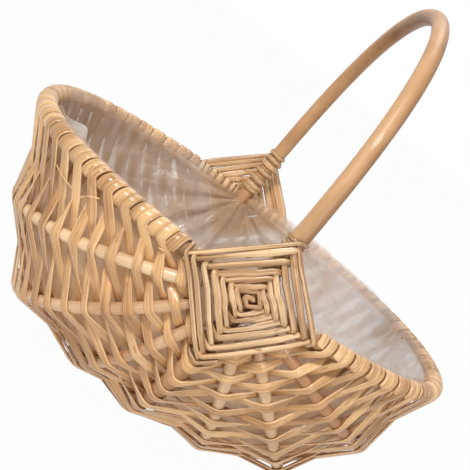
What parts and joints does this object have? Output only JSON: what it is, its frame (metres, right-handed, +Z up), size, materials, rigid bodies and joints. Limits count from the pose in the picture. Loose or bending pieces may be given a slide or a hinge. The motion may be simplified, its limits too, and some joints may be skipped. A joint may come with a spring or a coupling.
{
  "type": "wicker storage basket",
  "caption": "Oval hoop-and-rib willow basket with a fixed arched handle, square wound lashings at the crossings, an open woven body and a clear film liner.",
  "frame": {"origin": "on the ground below the middle of the basket", "axes": "+X along the basket, +Y from the front lashing to the back one, +Z up through the handle"},
  "size_m": [0.3952, 0.3352, 0.3905],
  "materials": {
    "peeled_rod": "smooth satin peeled willow rod, honey brown",
    "rib_rod": "satin peeled willow rod, pale buff",
    "split_skein": "flat split willow with fine lengthwise grain",
    "lashing_skein": "flat split willow with fine lengthwise grain",
    "clear_film": "clear soft plastic film with soft highlights"
  },
  "bodies": {
    "root": {"rim_hoop": "peeled_rod", "handle_hoop": "peeled_rod", "left_rib_1": "rib_rod", "left_rib_2": "rib_rod", "left_rib_3": "rib_rod", "right_rib_1": "rib_rod", "right_rib_2": "rib_rod", "right_rib_3": "rib_rod", "skein_01": "split_skein", "skein_02": "split_skein", "skein_03": "split_skein", "skein_04": "split_skein", "skein_05": "split_skein", "skein_06": "split_skein", "skein_07": "split_skein", "skein_08": "split_skein", "skein_09": "split_skein", "skein_10": "split_skein", "skein_11": "split_skein", "skein_12": "split_skein", "skein_13": "split_skein", "skein_14": "split_skein", "skein_15": "split_skein", "skein_16": "split_skein", "skein_17": "split_skein", "skein_18": "split_skein", "skein_19": "split_skein", "skein_20": "split_skein", "skein_21": "split_skein", "skein_22": "split_skein", "skein_23": "split_skein", "front_eye_lashing": "lashing_skein", "back_eye_lashing": "lashing_skein", "liner": "clear_film"}
  },
  "joints": []
}
